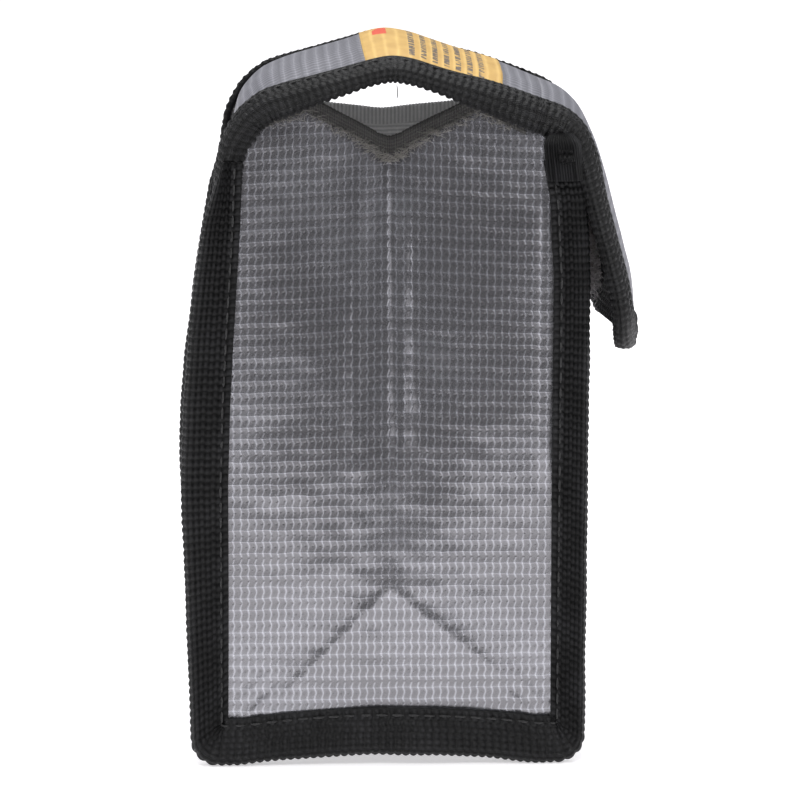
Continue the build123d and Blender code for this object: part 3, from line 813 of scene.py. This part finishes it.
def strands(name, start, middle, end, radius, taper, sides, rings, material):
    """Many short strands, each a bent tube: its line is the quadratic curve from start to end pulled
    towards middle, and its radius falls off towards both ends by taper, a power of a half circle's
    height."""
    t = np.linspace(0, 1, rings)[None, :, None]
    a, b, c = (np.asarray(v, float)[:, None, :] for v in (start, middle, end))
    line = (1 - t) ** 2 * a + 2 * t * (1 - t) * b + t**2 * c
    along = 2 * (1 - t) * (b - a) + 2 * t * (c - b)
    along = along / np.linalg.norm(along, axis=2, keepdims=True)
    lean = np.cross(along, np.array([0.31, 0.47, 0.83]))
    lean = lean / np.linalg.norm(lean, axis=2, keepdims=True)
    other = np.cross(along, lean)
    angle = np.arange(sides) * 2 * math.pi / sides
    thick = (radius * np.clip(1 - (2 * t - 1) ** 2, 0.02, 1) ** taper)[..., None]
    ring = lean[:, :, None, :] * np.cos(angle)[:, None] + other[:, :, None, :] * np.sin(angle)[:, None]
    points = line[:, :, None, :] + ring * thick
    count = len(a)
    one = grid_faces(rings, sides, wrap=True)
    offset = (np.arange(count) * rings * sides)[:, None, None]
    tips = np.stack([np.arange(sides)[::-1], np.arange(sides) + (rings - 1) * sides])
    faces = [(one + offset).reshape(-1, 4), (tips + offset).reshape(-1, sides)]
    run = t * np.linalg.norm(c - a, axis=2, keepdims=True)
    place = np.stack(np.broadcast_arrays(angle * radius, run, 0.0), -1) * 0.001
    pattern = np.broadcast_to(place, points.shape).reshape(-1, 3)
    return make_piece(name, points.reshape(-1, 3), faces, pattern, material)


def stitch_line(name, along, spot, out, thickness):
    """Stitches at even steps along a tape's path, at this distance out on its upper face."""
    centres = spot(np.full((1, 1), out), np.full((1, 1), thickness / 2 - 0.12))[:, 0]
    at = np.arange(along[0] + 2, along[-1] - 2, 2.9)
    raised = spot(np.full((1, 1), out), np.full((1, 1), thickness / 2 + 0.2))[:, 0]

    def at_places(line, places):
        """Points of a line at these distances along the tape."""
        return np.stack([np.interp(places, along, line[:, k]) for k in range(3)], 1)

    first, middle, last = at_places(centres, at - 1.1), at_places(raised, at), at_places(centres, at + 1.1)
    return strands(name, first, middle, last, 0.2, 0.3, 6, 6, black_thread)


for word, side in (("near", -1), ("far", 1)):
    along, spot = seam_spot(side)
    made = stitch_line(f"{word}_seam_stitches", along, spot, 1.4, 4.0)
    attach(made, "bag")
    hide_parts(f"{word}_seam_thread")
    stations = np.arange(back_top - 6, lid_end + 0.1, seam_step)
    flat = np.ones_like(stations)
    spot = strip_spot(stations, side * lid_tape_y * flat, 0 * flat, side * flat)
    made = stitch_line(f"{word}_lid_stitches", stations, spot, 1.2, lid_edge_t)
    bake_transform(made)
    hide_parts(f"lid_{word}_thread")
path_s, path_y, out_s, out_y = tongue_path()
along = np.concatenate([[0], np.cumsum(np.hypot(np.diff(path_s + 2 * out_s), np.diff(path_y + 2 * out_y)))])
made = stitch_line("tongue_stitches", along, strip_spot(path_s, path_y, out_s, out_y), 1.2, lid_edge_t)
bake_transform(made)
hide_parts("tongue_thread")

# ---- Frayed edge and loose ends ----
# The narrow tape on the near end is cut glass yarn, so its lower edge has come loose as pale fluff. One cut
# thread hangs from the lid's edge tape at the crown.
loose_yarn, shader, place, _ = new_material("loose_yarn", Sheen_Weight=0.3)
lint = place.noise(2000)
surface(shader, lint.mix((0.10, 0.095, 0.085, 1), (0.34, 0.32, 0.29, 1)), lint * 0.1 + 0.7, lint, 0.0001)
draw = np.random.default_rng(12)
count = 800
x = np.concatenate([draw.uniform(-21, 21, count // 2), draw.normal(0, 5.5, count - count // 2)]).clip(-23, 23)
drop = hem_deep + draw.uniform(-0.7, 0.5, count) + 0.8 * np.exp(-(x / 4) ** 2)
lean_x, lean_z = draw.normal(0, 0.8, count), draw.normal(-0.1, 0.45, count)
edge_z = mouth_height(x, -1) - drop
starts = end_point(x, edge_z, -1, -1.0)
middles = end_point(x + lean_x * 0.6, edge_z + lean_z * 0.4, -1, -1.2 - draw.uniform(0, 0.7, count))
ends = end_point(x + lean_x, edge_z + lean_z, -1, -0.85)
fluff = strands("near_mouth_fluff", starts, middles, ends, 0.045, 0.12, 3, 5, loose_yarn)
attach(fluff, "bag")
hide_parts("near_end_hem")
tip = on_strip(np.array([crown + 1.2, crown + 2.0, crown + 1.6]), -24.6, np.array([-2.6, -4.4, -5.0]))
hung = strands("lid_loose_thread", tip[:1], tip[1:2], tip[2:], 0.09, 0.2, 5, 8, black_thread)
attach(hung, "lid")
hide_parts("lid_near_thread")

# ---- Label on the lid ----
# A thin printed film stuck to the cloth, whose weave shows through it. It carries plain grey rows and a red
# shape.
label_film, shader, place, (over, down, _) = new_material("label_film", Coat_Weight=0.15, Coat_Roughness=0.3)
pressed = (down + place.noise(260) * 0.0004).ridge(rib_pitch, 4.0)
mottle = place.noise(300, 3.0)
paper = (mottle * 0.9 + pressed * 0.4 - 0.1).mix((0.50, 0.29, 0.07, 1), (0.80, 0.54, 0.18, 1))
rows_part = down.math("GREATER_THAN", 0.0078) * down.math("LESS_THAN", 0.0226)
in_rows = (down - 0.0085).ridge(0.0022, 2.0) * rows_part
stretched = place.node("Mapping", values={0: place, "Scale": (1, 0.25, 1)})
words = stretched.noise(1500, 1.0).math("GREATER_THAN", 0.47)
margins = over.math("ABSOLUTE").math("LESS_THAN", 0.0175)
printed = (in_rows * words * margins).math("GREATER_THAN", 0.30)
from_middle = ((down - 0.0034).math("ABSOLUTE") * 1.4).math("MAXIMUM", (over + 0.001).math("ABSOLUTE") * 0.5)
red = from_middle.math("LESS_THAN", 0.0016)
red = red * (down - over * 0.35 - 0.0023).math("ABSOLUTE").math("GREATER_THAN", 0.00035)
colour = (red * 0.9).mix((printed * 0.9).mix(paper, (0.09, 0.08, 0.08, 1)), (0.70, 0.05, 0.03, 1))
surface(shader, colour, mottle * 0.2 + 0.45, pressed * 0.5 + mottle * 0.2, 0.00012)

label_low, label_high = place_on_strip(-4.6, 128.4), place_on_strip(20.0, 123.3)
rows = np.linspace(label_low, label_high, 60)[:, None]
y = np.linspace(-20.8, 20.8, 76)[None, :]
points, faces = two_sided(on_strip(rows, y, 0.22), on_strip(rows, y, 0.01))
place = np.stack(np.broadcast_arrays(y * 0.001, (rows - label_low) * 0.001, 0.0), -1).reshape(-1, 3)
label = make_piece("lid_label", points, faces, np.concatenate([place, place]), label_film)
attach(label, "lid")
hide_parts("label")

# ---- Loop patch on the front wall ----
# The soft half of a touch fastener: a woven strip with a brushed pile of fine grey loops, sewn to the cover
# cloth.
loop_pile, shader, place, _ = new_material("loop_pile", Sheen_Weight=0.4, Specular_IOR_Level=0.3)
lint = place.noise(2500, 3.0)
surface(shader, lint.mix((0.33, 0.31, 0.32, 1), (0.62, 0.59, 0.60, 1)), lint * 0.1 + 0.75, lint, 0.0002)

loop_high, loop_low = place_on_strip(30.2, 105.7), place_on_strip(31, 84.5)
rows = np.linspace(loop_high, loop_low, 50)[:, None]
y = np.linspace(-17, 17, 80)[None, :]
pad = 1.0 + 0.25 * crumple(rows, y, 2.2, 55)
points, faces = two_sided(on_strip(rows, y, pad), on_strip(rows, y, -0.1))
place = np.stack(np.broadcast_arrays(y * 0.001, rows * 0.001, 0.0), -1).reshape(-1, 3)
patch = make_piece("loop_patch_pad", points, faces, np.concatenate([place, place]), loop_pile)
draw = np.random.default_rng(77)
count = 2600
root_s = draw.uniform(loop_high - 0.2, loop_low + 0.6, count)
root_y = 17.6 * np.sign(draw.uniform(-1, 1, count)) * draw.uniform(0, 1, count) ** 0.6
lean_s, lean_y = draw.normal(0, 0.9, (2, count))
tall = draw.uniform(1.4, 3.0, count)
starts = on_strip(root_s, root_y, 0.6)
middles = on_strip(root_s + lean_s, root_y + lean_y, tall * 1.5)
ends = on_strip(root_s + 1.6 * lean_s, root_y + 1.6 * lean_y, tall * 0.45)
pile = strands("loop_patch_pile", starts, middles, ends, 0.05, 0.12, 3, 6, loop_pile)
for made in (patch, pile):
    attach(made, "bag")
    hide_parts("loop_patch")

# ---- Hook strip inside the tongue ----
# The stiff half of the fastener: a black nylon strip with rows of small moulded hooks that face the loops.
hook_tape, shader, place, (over, down, _) = new_material("hook_tape", Specular_IOR_Level=0.4)
grain = place.noise(2000, 2.0)
colour = grain.mix((0.006, 0.006, 0.006, 1), (0.02, 0.02, 0.021, 1))
surface(shader, colour, grain * 0.2 + 0.35, grain + down.ridge(0.0007, 1.0) * 0.4, 0.0001)

hook_high, hook_low = place_on_strip(38.5, 104.0), place_on_strip(43.0, 88.5)
rows = np.linspace(hook_high, hook_low, 40)[:, None]
y = np.linspace(-17, 17, 70)[None, :]
points, faces = two_sided(on_strip(rows, y, -1.12), on_strip(rows, y, -1.6))
place = np.stack(np.broadcast_arrays(y * 0.001, rows * 0.001, 0.0), -1).reshape(-1, 3)
backing = make_piece("hook_strip_backing", points, faces, np.concatenate([place, place]), hook_tape)
hook_rows, hooks_across = np.arange(hook_high + 0.8, hook_low - 0.6, 1.15), np.arange(-16.2, 16.4, 1.3)
hook_s, hook_y = (v.ravel() for v in np.meshgrid(hook_rows, hooks_across))
turned = 0.45 * np.where(np.arange(len(hook_s)) % 2 == 0, 1, -1)
hooks = strands(
    "hook_strip_hooks", on_strip(hook_s, hook_y, -1.5), on_strip(hook_s, hook_y, -3.1),
    on_strip(hook_s + turned, hook_y, -2.1), 0.13, 0.1, 5, 6, hook_tape,
)
for made in (backing, hooks):
    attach(made, "tongue")
    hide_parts("hook_strip")
